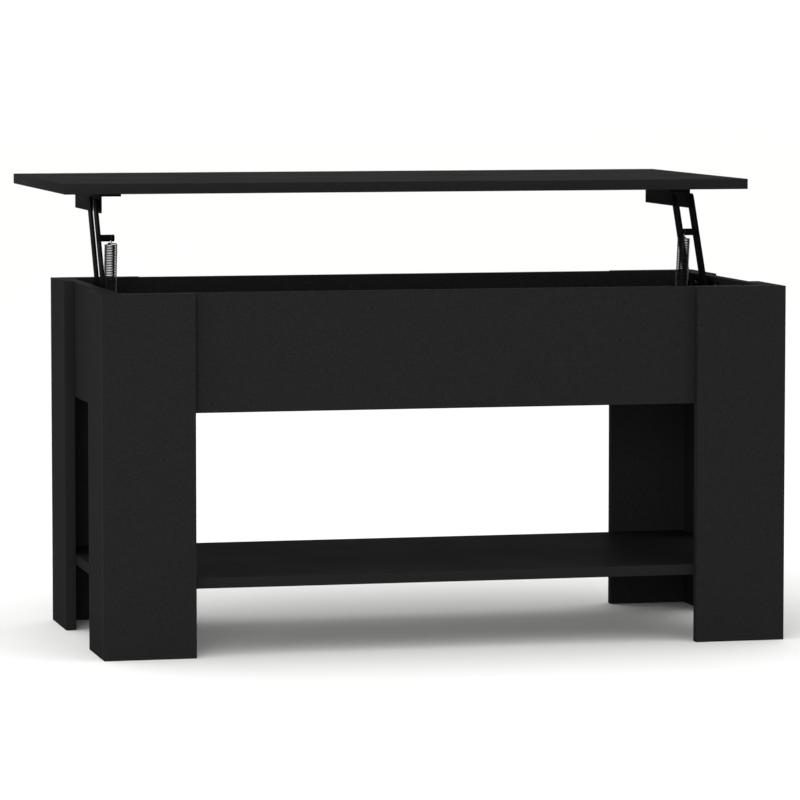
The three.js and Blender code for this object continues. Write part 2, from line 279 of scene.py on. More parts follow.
def endTree(tree, geometry, material):
    realized = addNode(tree, "GeometryNodeRealizeInstances", {"Geometry": geometry})
    painted = addNode(tree, "GeometryNodeSetMaterial", {
        "Geometry": realized.outputs[0], "Material": material,
    })
    addNode(tree, "NodeGroupOutput", {"Geometry": painted.outputs[0]})


def grow(name, tree, mesh, sizes, sharpAngle=32):
    # runs a tree on a mesh and keeps the result as a plain mesh
    seed = newObject(name, mesh)
    modifier = seed.modifiers.new(name, "NODES")
    modifier.node_group = tree
    for item in tree.interface.items_tree:
        if item.in_out == "INPUT" and item.name in sizes:
            modifier[item.identifier] = sizes[item.name]
    grown = evaluatedMesh(seed)
    bpy.data.objects.remove(seed)
    grown.name = name
    return meshObject(name, grown, sharpAngle)


def pointsMesh(name, places, aims):
    # one vertex for each copy, with the way it faces
    mesh = bpy.data.meshes.new(name)
    mesh.from_pydata(places, [], [])
    aim = mesh.attributes.new("aim", "FLOAT_VECTOR", "POINT")
    for item, direction in zip(aim.data, aims):
        item.vector = direction
    return mesh


def copiesFacing(tree, points, part):
    # a copy of the part at each point, its Z turned to the point's aim
    aim = addNode(tree, "GeometryNodeInputNamedAttribute", {"Name": "aim"}, data_type="FLOAT_VECTOR")
    turn = addNode(tree, "FunctionNodeAlignRotationToVector", {"Vector": aim.outputs["Attribute"]}, axis="Z")
    return addNode(tree, "GeometryNodeInstanceOnPoints", {
        "Points": points, "Instance": part, "Rotation": turn.outputs["Rotation"],
    }).outputs[0]


def times(tree, first, second):
    return addNode(tree, "ShaderNodeMath", {0: first, 1: second}, operation="MULTIPLY").outputs[0]


def minus(tree, first, second):
    return addNode(tree, "ShaderNodeMath", {0: first, 1: second}, operation="SUBTRACT").outputs[0]


def vector(tree, x=0.0, y=0.0, z=0.0):
    return addNode(tree, "ShaderNodeCombineXYZ", {"X": x, "Y": y, "Z": z}).outputs[0]


def moved(tree, geometry, **change):
    return addNode(tree, "GeometryNodeTransform", {
        "Geometry": geometry, **{key.capitalize(): value for key, value in change.items()},
    }).outputs[0]


def crossSlot(tree, long, wide, deep, height):
    # two crossed bars, to be cut from a head whose face is at this height
    bars = []
    for size in ((long, wide), (wide, long)):
        bar = addNode(tree, "GeometryNodeMeshCube", {"Size": vector(tree, *size, times(tree, deep, 2.0))})
        bars.append(moved(tree, bar.outputs[0], translation=vector(tree, z=height)))
    return bars


def cutBy(tree, body, tools):
    return addNode(tree, "GeometryNodeMeshBoolean", {
        "Mesh 1": body, "Mesh 2": tools,
    }, operation="DIFFERENCE", solver="EXACT").outputs[0]


def newMaterial(name, **shader):
    made = bpy.data.materials.new(name)
    made.use_nodes = True
    tree = made.node_tree
    tree.nodes.clear()
    principled = addNode(tree, "ShaderNodeBsdfPrincipled", shader)
    addNode(tree, "ShaderNodeOutputMaterial", {"Surface": principled.outputs["BSDF"]})
    place = addNode(tree, "ShaderNodeTexCoord").outputs["Object"]
    return made, tree, principled, place


def dress(tree, principled, sources):
    # links the finished patterns to the shader
    for label, source in sources.items():
        tree.links.new(source, principled.inputs[label])


def noise(tree, place, size, detail=3.0):
    # an even mottle whose patches are about this many millimetres across
    return addNode(tree, "ShaderNodeTexNoise", {
        "Vector": place, "Scale": perMetre(size), "Detail": detail, "Roughness": 0.55,
    }).outputs["Fac"]


def remap(tree, value, low, high):
    # noise seldom leaves 0.3 to 0.7, so that stretch is spread over the new range
    return addNode(tree, "ShaderNodeMapRange", {
        "Value": value, "From Min": 0.3, "From Max": 0.7, "To Min": low, "To Max": high,
    }).outputs["Result"]


def twoColours(tree, value, dark, light):
    return addNode(tree, "ShaderNodeMix", {
        "Factor": value, "A": hexColour(dark), "B": hexColour(light),
    }, data_type="RGBA").outputs["Result"]


def bump(tree, height, depth):
    return addNode(tree, "ShaderNodeBump", {
        "Height": height, "Distance": depth * mm, "Strength": 1.0,
    }).outputs["Normal"]


boardLook = {
    "specular": 0.0007,  # the paper's resin shines very little, even at a low angle
    "dark": "#161616", "light": "#212121",  # painted shade in the pits of the pearl bump and painted light on its raised grain, both matte black
    "pearl": 1.5,  # mm between the pits of the pressed pearl finish, drawn coarser than the real 0.6
    "pearlDepth": 0.04,  # mm
    "smudge": 90,  # mm across where hands have polished it
    "roughLow": 0.52, "roughHigh": 0.60,
}


def melamineMaterial():
    # black melamine paper pressed on particle board: matte, with a fine pearl texture and faint hand polish
    look = boardLook
    made, tree, principled, place = newMaterial("blackMelamine", **{"Specular IOR Level": look["specular"]})
    smudge = noise(tree, place, look["smudge"], detail=4.0)
    pearl = noise(tree, place, look["pearl"], detail=2.0)
    # the base colour follows the pearl bump's height: painted shade darkens its pits and its raised grain is
    # painted lighter
    grain = remap(tree, pearl, 0.0, 1.0)
    dress(tree, principled, {
        "Base Color": twoColours(tree, grain, look["dark"], look["light"]),
        "Roughness": remap(tree, smudge, look["roughLow"], look["roughHigh"]),
        "Normal": bump(tree, pearl, look["pearlDepth"]),
    })
    return made


edgeBandLook = {
    "specular": 0.0007,
    "dark": "#191919", "light": "#1f1f1f",
    "grain": 0.9,  # mm, the fine grain of extruded ABS, drawn coarser than the real 0.3
    "grainDepth": 0.01,  # mm
    "roughLow": 0.42, "roughHigh": 0.54,
}


def edgeBandMaterial():
    # thin black ABS strip glued on the cut edges: a fine even grain, smoother than the faces
    look = edgeBandLook
    made, tree, principled, place = newMaterial("blackEdgeBand", **{"Specular IOR Level": look["specular"]})
    grain = remap(tree, noise(tree, place, look["grain"], detail=2.0), 0.0, 1.0)
    dress(tree, principled, {
        "Base Color": twoColours(tree, grain, look["dark"], look["light"]),
        "Roughness": remap(tree, grain, look["roughLow"], look["roughHigh"]),
        "Normal": bump(tree, grain, look["grainDepth"]),
    })
    return made


powderLook = {
    "specular": 0.0008,
    "dark": "#080808", "light": "#0e0e0e",
    "peel": 1.1, "peelDepth": 0.02,  # mm
    "patch": 14,  # mm, where the coat is a little thicker or thinner
    "roughLow": 0.40, "roughHigh": 0.50,
}


def powderCoatMaterial():
    # black polyester powder baked on steel: satin, with the soft orange peel of the melted powder
    look = powderLook
    made, tree, principled, place = newMaterial("blackPowderCoat", **{"Specular IOR Level": look["specular"]})
    peel = noise(tree, place, look["peel"], detail=2.0)
    patch = noise(tree, place, look["patch"])
    dress(tree, principled, {
        "Base Color": twoColours(tree, patch, look["dark"], look["light"]),
        "Roughness": remap(tree, peel, look["roughLow"], look["roughHigh"]),
        "Normal": bump(tree, peel, look["peelDepth"]),
    })
    return made


zincLook = {"cloud": 3.0, "grain": 0.5, "roughLow": 0.30, "roughHigh": 0.44}  # cloud and grain in mm


def zincMaterial(name, dark, light, grainDepth):
    # zinc, cast or plated: cloudy patches of two shades, and a fine grain that blurs what it mirrors
    made, tree, principled, place = newMaterial(name, Metallic=1.0)
    cloud = noise(tree, place, zincLook["cloud"])
    dress(tree, principled, {
        "Base Color": twoColours(tree, cloud, dark, light),
        "Roughness": remap(tree, cloud, zincLook["roughLow"], zincLook["roughHigh"]),
        "Normal": bump(tree, noise(tree, place, zincLook["grain"], detail=2.0), grainDepth),
    })
    return made


springLook = {
    "dark": "#1e1e1f", "light": "#303031",
    "film": 0.9,  # mm, patches of the oil film
    "roughLow": 0.28, "roughHigh": 0.40,
}


def springMaterial():
    # phosphated and oiled spring wire: near black, with a soft metallic shine where the oil film is thin
    look = springLook
    made, tree, principled, place = newMaterial("blackSpringWire", Metallic=1.0)
    film = noise(tree, place, look["film"])
    dress(tree, principled, {
        "Base Color": twoColours(tree, film, look["dark"], look["light"]),
        "Roughness": remap(tree, film, look["roughLow"], look["roughHigh"]),
    })
    return made


melamine = melamineMaterial()
edgeBand = edgeBandMaterial()
powderCoat = powderCoatMaterial()
castZinc = zincMaterial("dieCastZinc", "#a2a5a8", "#bfc1c1", 0.01)
blackZinc = zincMaterial("blackZincPlate", "#2a2b2c", "#3b3c3e", 0.004)
springWire = springMaterial()
finishes = {
    "black_board": melamine, "black_steel": powderCoat, "zinc_fastener": castZinc,
    "black_zinc_screw": blackZinc, "spring_wire": springWire,
}
print("materials made:", len(bpy.data.materials))


boardShape = {
    "eased": 0.8,  # mm, the rounded edge that the trimming tool leaves
    "easedSteps": 3,
    "bandSeam": 0.12,  # mm, width of the line between edge band and face
    "seamDepth": 0.6,  # of that width
    "screwHole": 0.55,  # of the screw head's width
    "camHole": 1.03,  # of the cam's width
    "drillBefore": 1.0, "drillBeyond": 0.3,  # mm that the drill starts outside and goes past the tip
}


def drillings(nodes, inwards, share):
    # a cutting rod round each screw or cam, along the direction that it goes in
    before, beyond = boardShape["drillBefore"] * mm, boardShape["drillBeyond"] * mm
    tools = []
    for node in nodes:
        low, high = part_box(node)
        aim = Vector(inwards)
        depth = abs((high - low).dot(aim))
        across = min(size for size, along in zip(high - low, aim) if abs(along) < 0.5)
        start = (low + high) / 2 - aim * (depth / 2 + before)
        tools.append(rodTool(aim, start, across / 2 * share, depth + before + beyond))
    return tools


def boardPiece(node, name, thickAxis, body="table", drilled=()):
    # one particle board: two laminated faces, and edge bands whose glue line shows as a hair-thin groove
    low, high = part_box(node)
    eased = boardShape["eased"] * mm
    seam = boardShape["bandSeam"] * mm
    groove = seam * boardShape["seamDepth"]
    work = bmesh.new()
    bmesh.ops.create_cube(work, size=1.0)
    bmesh.ops.scale(work, vec=high - low, verts=work.verts)
    bmesh.ops.bevel(
        work, geom=list(work.edges), offset=eased, segments=boardShape["easedSteps"],
        profile=0.5, affect="EDGES",
    )
    squareOn = 0.999
    broadFaces = [f for f in work.faces if abs(f.normal[thickAxis]) > squareOn]
    for face in broadFaces:
        # a narrow flat just inside the eased edge, then down into the groove and up again
        for depth in (0, -groove, groove):
            bmesh.ops.inset_individual(work, faces=[face], thickness=seam, depth=depth)
    for face in work.faces:
        face.material_index = 1
    for face in broadFaces:
        face.material_index = 0
    bmesh.ops.translate(work, vec=(low + high) / 2, verts=work.verts)
    mesh = bpy.data.meshes.new(name)
    work.to_mesh(mesh)
    work.free()
    mesh.materials.append(melamine)
    mesh.materials.append(edgeBand)
    board = meshObject(name, mesh)
    if drilled:
        carve(board, drilled)
    return finishPiece(board, body, "black_board", node)


alongX, alongY, alongZ = 0, 1, 2
numbers = (1, 2, 3)
camNodes = [f"shelf_cam_{end}_{side}" for end in ("front", "back") for side in sides]
topScrews = [f"{side}_top_screw_{number}" for side in sides for number in numbers]
wallScrews = {side: [f"{side}_base_screw_{number}" for number in numbers] for side in sides}
topHoles = drillings(topScrews, (0, 0, 1), boardShape["screwHole"])
camHoles = drillings(camNodes, (0, 0, 1), boardShape["camHole"])
boardPiece("tabletop", "tabletop_board", alongZ, "top", topHoles)
boardPiece("apron_front", "apron_front_board", alongY)
boardPiece("apron_back", "apron_back_board", alongY)
boardPiece("storage_bottom", "storage_bottom_board", alongZ)
boardPiece("shelf", "shelf_board", alongZ, "table", camHoles)
for side, towards in sides.items():
    screwHoles = drillings(wallScrews[side], (towards, 0, 0), boardShape["screwHole"])
    boardPiece(f"side_panel_{side}", f"side_panel_{side}_board", alongX, "table", screwHoles)
    for end in ("front", "back"):
        boardPiece(f"leg_{end}_{side}_wide", f"leg_{end}_{side}_wide_board", alongY)
        boardPiece(f"leg_{end}_{side}_side", f"leg_{end}_{side}_side_board", alongX)
print("boards built")


sheetSteel = {
    "base": 2.5, "top": 2.0,  # mm, thickness of the two brackets
    "bend": 2.6, "eased": 0.35,  # mm, radius of a fold's middle and of an edge
}
tooling = {"trim": 5.0, "clear": 20.0}  # mm that a trimming block passes a plate, and reaches beyond its edge
fit = {"gap": 0.3, "play": 0.1, "hole": 0.3}  # mm between plates, at a collar, round a pin


def reachX(node):
    # how far a node starts and ends from the middle of the table, in mm
    low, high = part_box(node)
    near, far = sorted((abs(low[0]), abs(high[0])))
    return near / mm, far / mm


def stackOf(side):
    # the planes of the arms and plates on one side, in mm from the middle of the table
    frontArm = reachX(f"{side}_front_arm")
    rearArm = reachX(f"{side}_rear_arm")
    return {
        "panel": reachX(f"side_panel_{side}")[0],
        "webOuter": frontArm[1] + fit["gap"] + sheetSteel["base"],
        "webInner": frontArm[1] + fit["gap"],
        "frontOuter": frontArm[1], "frontInner": frontArm[0],
        "rearOuter": rearArm[1], "rearInner": rearArm[0],
        "flangeOuter": rearArm[0] - fit["gap"],
        "flangeInner": rearArm[0] - fit["gap"] - sheetSteel["top"],
        "spring": sum(reachX(f"{side}_spring_hook")) / 2,
        "pinEnd": reachX(f"{side}_upper_spring_pin")[0],
    }


def pinPlace(node):
    # where a pin's axis crosses the plane of the arms, in metres
    centre = middle(node)
    return Vector((0, centre.y, centre.z))


def acrossTable(side, place):
    # a matrix for turned pieces: their own Z, in mm, becomes the distance from the middle of the table
    towards = sides[side]
    matrix = axesMatrix((0, 0, towards), (0, 1, 0), (-towards, 0, 0), place)
    for scale, axis in ((-mm, (0, 0, 1)), (mm, (1, 0, 0)), (mm, (0, 1, 0))):
        matrix = matrix @ Matrix.Scale(scale, 4, axis)
    return matrix


def domedHead(radius, height, face, outward, steps=5):
    # a rivet head's outline from its crown down to the plate, as (radius, height) pairs
    turns = [math.radians(90 * step / steps) for step in range(steps + 1)]
    return [(radius * math.sin(t), face + outward * height * math.cos(t)) for t in turns]


pivotShape = {"shank": 4.2, "collar": 6.0, "head": 6.5, "headHeight": 1.2, "eased": 0.18}  # mm
springPinShape = {
    "radius": 5.0, "groove": 3.2, "grooveHalf": 1.3, "lead": 0.6,  # mm
    "head": 7.0, "headHeight": 1.2,
}


def pivotProfiles(stack):
    # the four rivets: a collar holds each arm in its plane, and the ends that an arm sweeps past are flush
    shank, collar, head = pivotShape["shank"], pivotShape["collar"], pivotShape["head"]
    tall = pivotShape["headHeight"]
    play = fit["play"]
    webHead = [(shank, stack["webOuter"])] + domedHead(head, tall, stack["webOuter"], 1)[::-1]
    flangeHead = domedHead(head, tall, stack["flangeInner"], -1) + [(shank, stack["flangeInner"])]
    return {
        "front_base_rivet": [(0, stack["frontInner"]), (shank, stack["frontInner"])] + webHead,
        "rear_base_rivet": domedHead(head, tall, stack["rearInner"] - play, -1) + [
            (shank, stack["rearInner"] - play), (shank, stack["rearOuter"] + play),
            (collar, stack["rearOuter"] + play), (collar, stack["webInner"]),
            (shank, stack["webInner"]),
        ] + webHead,
        "front_top_rivet": flangeHead + [
            (shank, stack["flangeOuter"] + play), (collar, stack["flangeOuter"] + play),
            (collar, stack["frontInner"] - play), (shank, stack["frontInner"] - play),
            (shank, stack["frontOuter"] + play),
        ] + domedHead(head, tall, stack["frontOuter"] + play, 1)[::-1],
        "rear_top_rivet": flangeHead + [(shank, stack["rearOuter"]), (0, stack["rearOuter"])],
    }


def springPinProfile(stack, plateOuter):
    # a pin with a groove near its free end, where the spring's eye sits
    radius, lead, groove = springPinShape["radius"], springPinShape["lead"], springPinShape["groove"]
    near = stack["spring"] - springPinShape["grooveHalf"]
    far = stack["spring"] + springPinShape["grooveHalf"]
    end = stack["pinEnd"]
    return [
        (0, end), (radius - lead, end), (radius, end + lead), (radius, near), (groove, near),
        (groove, far), (radius, far), (radius, plateOuter),
    ] + domedHead(springPinShape["head"], springPinShape["headHeight"], plateOuter, 1)[::-1]


def turnedPiece(node, side, profile, body):
    name = f"{node}_turned"
    mesh = turnedMesh(name, easeCorners(profile, pivotShape["eased"]))
    placed(mesh, acrossTable(side, pinPlace(node)))
    return finishPiece(meshObject(name, mesh, sharpAngle=40), body, "black_steel", node)


armShape = {
    "width": 24.0, "endReach": 7.0, "corner": 10.0, "eased": 0.45,  # mm
    "arcSteps": 12, "holeSteps": 32,
}


def armPiece(side, end, stack):
    # a flat steel bar with rounded corners and a hole for each pin
    node = f"{side}_{end}_arm"
    foot = pinPlace(f"{side}_{end}_base_rivet")
    head = pinPlace(f"{side}_{end}_top_rivet")
    length = (head - foot).length / mm
    corner = armShape["corner"]
    inset = armShape["width"] / 2 - corner
    high = length + armShape["endReach"] - corner
    low = corner - armShape["endReach"]
    corners = [(inset, high, 0), (-inset, high, 90), (-inset, low, 180), (inset, low, 270)]
    ends = []
    for place, up, start in corners:
        ends += arcPoints((place, up), corner, start, start + 90, armShape["arcSteps"])
    pivotHole = pivotShape["shank"] + fit["hole"]
    holes = [(0, pivotHole), (length, pivotHole)]
    if end == "front":
        pinUp = (pinPlace(f"{side}_upper_spring_pin") - foot).length / mm
        holes.append((pinUp, springPinShape["radius"] + fit["hole"]))
    outlines = [ends]
    for up, radius in holes:
        outlines.append(arcPoints((0, up), radius, 360, 0, armShape["holeSteps"])[:-1])
    inner, outer = stack[f"{end}Inner"], stack[f"{end}Outer"]
    mesh = sheetMesh(f"{node}_bar", outlines, outer - inner, armShape["eased"])
    mesh.transform(Matrix.Scale(mm, 4))
    up = (head - foot).normalized()
    across = Vector((0, up.z, -up.y))
    origin = foot + Vector((sides[side] * (inner + outer) / 2 * mm, 0, 0))
    placed(mesh, axesMatrix(across, up, (1, 0, 0), origin))
    return finishPiece(meshObject(f"{node}_bar", mesh), node, "black_steel", node)


def foldedPiece(name, side, line, thickness, front, back):
    # a folded sheet run along Y between two places; its section is drawn across the table and up
    outline = foldedOutline(line, thickness, sheetSteel["bend"])
    mesh = sheetMesh(name, [outline], back - front, sheetSteel["eased"])
    mesh.transform(Matrix.Scale(mm, 4))
    towards = sides[side]
    origin = (0, (front + back) / 2 * mm, 0)
    placed(mesh, axesMatrix((towards, 0, 0), (0, 0, 1), (0, -towards, 0), origin))
    return meshObject(name, mesh)


def roundedTool(side, near, far, low, high, radius, steps=8):
    # a block with rounded corners, seen from the side of the table, for trimming a plate
    (front, bottom), (back, top) = low, high
    outline = []
    corners = [(back, top, 0), (front, top, 90), (front, bottom, 180), (back, bottom, 270)]
    for across, up, start in corners:
        centre = (
            across - math.copysign(radius, across - (front + back) / 2),
            up - math.copysign(radius, up - (bottom + top) / 2),
        )
        outline += arcPoints(centre, radius, start, start + 90, steps)
    mesh = sheetMesh("roundedTool", [outline], far - near, 0.0)
    mesh.transform(Matrix.Scale(mm, 4))
    origin = (sides[side] * (near + far) / 2 * mm, 0, 0)
    placed(mesh, axesMatrix((0, 1, 0), (0, 0, 1), (1, 0, 0), origin))
    return newObject("roundedTool", mesh)


def pinHoles(side, inner, thickness, past, pins):
    # a cutting rod for each pin's hole in a plate, longer than the plate is thick at both ends
    across = (sides[side], 0, 0)
    tools = []
    for pin, radius in pins.items():
        place = pinPlace(f"{side}_{pin}")
        start = (sides[side] * (inner - past) * mm, place.y, place.z)
        tools.append(rodTool(across, start, (radius + fit["hole"]) * mm, (thickness + 2 * past) * mm))
    return tools


baseBracketShape = {
    "tab": 12.0,  # mm, height of each screwed tab
    "corner": 7.0, "drillPast": 2.0,
    "stopRadius": 3.0, "stopEased": 0.4,
    "stopAlong": 12.0,  # mm up the arm from its pivot
    "stopRoot": 1.0,  # mm let into the plate
}


def baseBracketPiece(side, stack):
    # a folded plate that stands off the side panel, with rounded corners and a round stop for the front arm
    node = f"{side}_base_bracket"
    low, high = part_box(node)
    thickness = sheetSteel["base"]
    top, bottom = high.z / mm, low.z / mm
    front, back = low.y / mm, high.y / mm
    tab = baseBracketShape["tab"]
    onPanel = stack["panel"] - thickness / 2
    onWeb = (stack["webInner"] + stack["webOuter"]) / 2
    upperFold = top - tab - thickness / 2
    lowerFold = bottom + tab + thickness / 2
    line = [(onPanel, top), (onPanel, upperFold), (onWeb, upperFold),
            (onWeb, lowerFold), (onPanel, lowerFold), (onPanel, bottom)]
    plate = foldedPiece(f"{node}_plate", side, line, thickness, front, back)
    corner = baseBracketShape["corner"]
    near, far = stack["webInner"] - tooling["trim"], stack["panel"] + tooling["trim"]
    carve(plate, [roundedTool(side, near, far, (front, bottom), (back, top), corner)], "INTERSECT")
    carve(plate, pinHoles(side, stack["webInner"], thickness, baseBracketShape["drillPast"], {
        "front_base_rivet": pivotShape["shank"], "rear_base_rivet": pivotShape["shank"],
        "lower_spring_pin": springPinShape["radius"],
    }))
    foot = pinPlace(f"{side}_front_base_rivet")
    along = (pinPlace(f"{side}_front_top_rivet") - foot).normalized()
    aside = Vector((0, along.z, -along.y))
    radius = baseBracketShape["stopRadius"]
    offArm = armShape["width"] / 2 + radius + fit["hole"]
    place = foot + along * baseBracketShape["stopAlong"] * mm + aside * offArm * mm
    end, root = stack["frontInner"], stack["webInner"] + baseBracketShape["stopRoot"]
    profile = easeCorners([(0, end), (radius, end), (radius, root), (0, root)], baseBracketShape["stopEased"])
    joinTo(plate, placed(turnedMesh("stop", profile), acrossTable(side, place)))
    return finishPiece(plate, "table", "black_steel", node)


topBracketShape = {
    "corner": 3.0, "drillPast": 3.0,  # mm
    "notchFront": 9.0, "notchBack": 7.5, "notchTop": 3.0, "notchRound": 4.0,
    "lip": 4.0, "lipRoot": 6.0, "lipOverlap": 0.5, "lipEased": 0.2,
    "lipThin": 0.98, "lipBend": 0.6,  # of the sheet's thickness
}


def topBracketPiece(side, stack):
    # an angle screwed under the top, its front end turned down, with a notch that clears the spring pin
    shape = topBracketShape
    node = f"{side}_top_bracket"
    low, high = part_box(node)
    thickness = sheetSteel["top"]
    front, back = low.y / mm, high.y / mm
    top, bottom = high.z / mm, low.z / mm
    inner = reachX(node)[0]
    onTop = top - thickness / 2
    onWeb = stack["flangeOuter"] - thickness / 2
    line = [(inner, onTop), (onWeb, onTop), (onWeb, bottom)]
    angle = foldedPiece(f"{node}_angle", side, line, thickness, front, back)
    near, far = inner - tooling["trim"], stack["flangeOuter"] + tooling["trim"]
    above = top + tooling["clear"]
    carve(angle, [roundedTool(side, near, far, (front, bottom), (back, above), shape["corner"])], "INTERSECT")
    pivot = pinPlace(f"{side}_front_top_rivet")
    foot = pinPlace(f"{side}_front_base_rivet")
    pinDrop = (pivot - foot).length / mm - (pinPlace(f"{side}_upper_spring_pin") - foot).length / mm
    past = shape["drillPast"]
    notchLow = (pivot.y / mm + pinDrop - shape["notchFront"], bottom - tooling["clear"])
    notchHigh = (pivot.y / mm + pinDrop + shape["notchBack"], pivot.z / mm + shape["notchTop"])
    near, far = stack["flangeInner"] - past, stack["flangeOuter"] + past
    notch = roundedTool(side, near, far, notchLow, notchHigh, shape["notchRound"])
    carve(angle, [notch, *pinHoles(side, stack["flangeInner"], thickness, past, {
        "front_top_rivet": pivotShape["shank"], "rear_top_rivet": pivotShape["shank"],
    })])
    # the turned-down end, folded from the flange
    onEnd = front + thickness / 2
    lipLine = [(onEnd, top - thickness - shape["lip"]), (onEnd, onTop), (front + shape["lipRoot"], onTop)]
    lipOutline = foldedOutline(lipLine, thickness * shape["lipThin"], thickness * shape["lipBend"])
    lipWidth = stack["flangeInner"] + shape["lipOverlap"] - inner
    lip = sheetMesh("lip", [lipOutline], lipWidth, shape["lipEased"])
    lip.transform(Matrix.Scale(mm, 4))
    centre = sides[side] * (inner + lipWidth / 2) * mm
    joinTo(angle, placed(lip, axesMatrix((0, 1, 0), (0, 0, 1), (1, 0, 0), (centre, 0, 0))))
    return finishPiece(angle, "top", "black_steel", node)


springShape = {
    "wire": 1.5, "coilRadius": 8.75, "pitch": 2.45, "coilFromPin": 8.5,  # mm
    "eyeRadius": 4.4, "eyeFrom": 7.2,  # the loop round a pin, and where its straight end starts
    "eyeGap": 8,  # degrees that the loop is left open
    "tuckLift": 0.9,  # of the wire, by which the last half turn rises off the coil
    "eyeSteps": 28, "stepsPerTurn": 20, "wireSides": 10,
}


def springPath(length):
    # the middle of the wire in mm: across in the plane of the eyes, out of that plane, up from the lower pin
    shape = springShape
    radius, near = shape["coilRadius"], shape["coilFromPin"] + shape["wire"] / 2
    # the straight end meets the loop this many degrees off the spring's own line
    tangent = math.degrees(math.acos(shape["eyeRadius"] / shape["eyeFrom"]))
    start, end = 90 - tangent - shape["eyeGap"], 90 + tangent - 360
    loop = arcPoints((0, 0), shape["eyeRadius"], start, end, shape["eyeSteps"])
    lowerEye = [(x, 0.0, z) for x, z in loop]
    coil = []
    turns = (length - 2 * near) / shape["pitch"]
    steps = round(turns * shape["stepsPerTurn"])
    tuck = shape["stepsPerTurn"] // 2  # the last half turn winds in to the middle
    for step in range(-tuck, steps + tuck + 1):
        inTurn = min(1.0, max(0.0, min(step + tuck, steps + tuck - step) / tuck))
        wound = radius * (1 - (1 - inTurn) ** 2)
        angle = 2 * math.pi * turns * step / steps
        rise = min(max(step, 0), steps) / steps
        lift = shape["tuckLift"] * (1 - inTurn) * shape["wire"] * (1 if step > steps / 2 else -1)
        up = near + (length - 2 * near) * rise + lift
        coil.append((wound * math.cos(angle), wound * math.sin(angle), up))
    upperEye = [(x, 0.0, length - z) for x, _, z in reversed(lowerEye)]
    return lowerEye + coil + upperEye


wireSizes = {"WireRadius": springShape["wire"] / 2 * mm, "WireSides": springShape["wireSides"]}


def wireTree():
    # a round wire swept along a row of points
    tree, given = newTree("wireSweep", **wireSizes)
    path = addNode(tree, "GeometryNodeMeshToCurve", {"Mesh": given["Geometry"]})
    ring = addNode(tree, "GeometryNodeCurvePrimitiveCircle", {
        "Resolution": given["WireSides"], "Radius": given["WireRadius"],
    })
    swept = addNode(tree, "GeometryNodeCurveToMesh", {
        "Curve": path.outputs[0], "Profile Curve": ring.outputs[0], "Fill Caps": True,
    })
    endTree(tree, swept.outputs[0], springWire)
    return tree


wireSweep = wireTree()


def springPiece(side, stack):
    # one length of wire: an eye in the groove of each pin and a close coil between them
    lower = pinPlace(f"{side}_lower_spring_pin")
    upper = pinPlace(f"{side}_upper_spring_pin")
    length = (upper - lower).length / mm
    up = (upper - lower).normalized()
    across = Vector((0, up.z, -up.y))
    origin = lower + Vector((sides[side] * stack["spring"] * mm, 0, 0))
    place = axesMatrix(across, (sides[side], 0, 0), up, origin) @ Matrix.Scale(mm, 4)
    points = [place @ Vector(point) for point in springPath(length)]
    path = bpy.data.meshes.new(f"{side}_spring_path")
    path.from_pydata(points, [(i, i + 1) for i in range(len(points) - 1)], [])
    spring = grow(f"{side}_spring_wire", wireSweep, path, wireSizes, sharpAngle=60)
    closeMesh(spring.data)
    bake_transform(spring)
    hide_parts(f"{side}_spring", f"{side}_spring_hook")


for side in sides:
    stack = stackOf(side)
    for name, profile in pivotProfiles(stack).items():
        turnedPiece(f"{side}_{name}", side, profile, "top" if "top" in name else "table")
    upperPin = springPinProfile(stack, stack["frontOuter"])
    lowerPin = springPinProfile(stack, stack["webOuter"])
    turnedPiece(f"{side}_upper_spring_pin", side, upperPin, f"{side}_front_arm")
    turnedPiece(f"{side}_lower_spring_pin", side, lowerPin, "table")
    for end in ("front", "rear"):
        armPiece(side, end, stack)
    baseBracketPiece(side, stack)
    topBracketPiece(side, stack)
    springPiece(side, stack)
    print(side, "lifting mechanism built")


screwShape = {
    "headRadius": 4.2, "headHeight": 2.1,  # mm
    "shankRadius": 1.95, "shankLength": 13.0, "pitch": 1.4, "tip": 3.0,
}
screwShares = {
    "slotLong": 1.1, "slotWide": 0.26, "slotDeep": 0.62,  # of the head's radius, and of its height
    "core": 0.72, "thread": 0.78, "ridge": 0.22,  # of the shank's radius
    "point": 0.15,  # of the core
}
screwFacets = {"head": 28, "headRings": 14, "shank": 16}


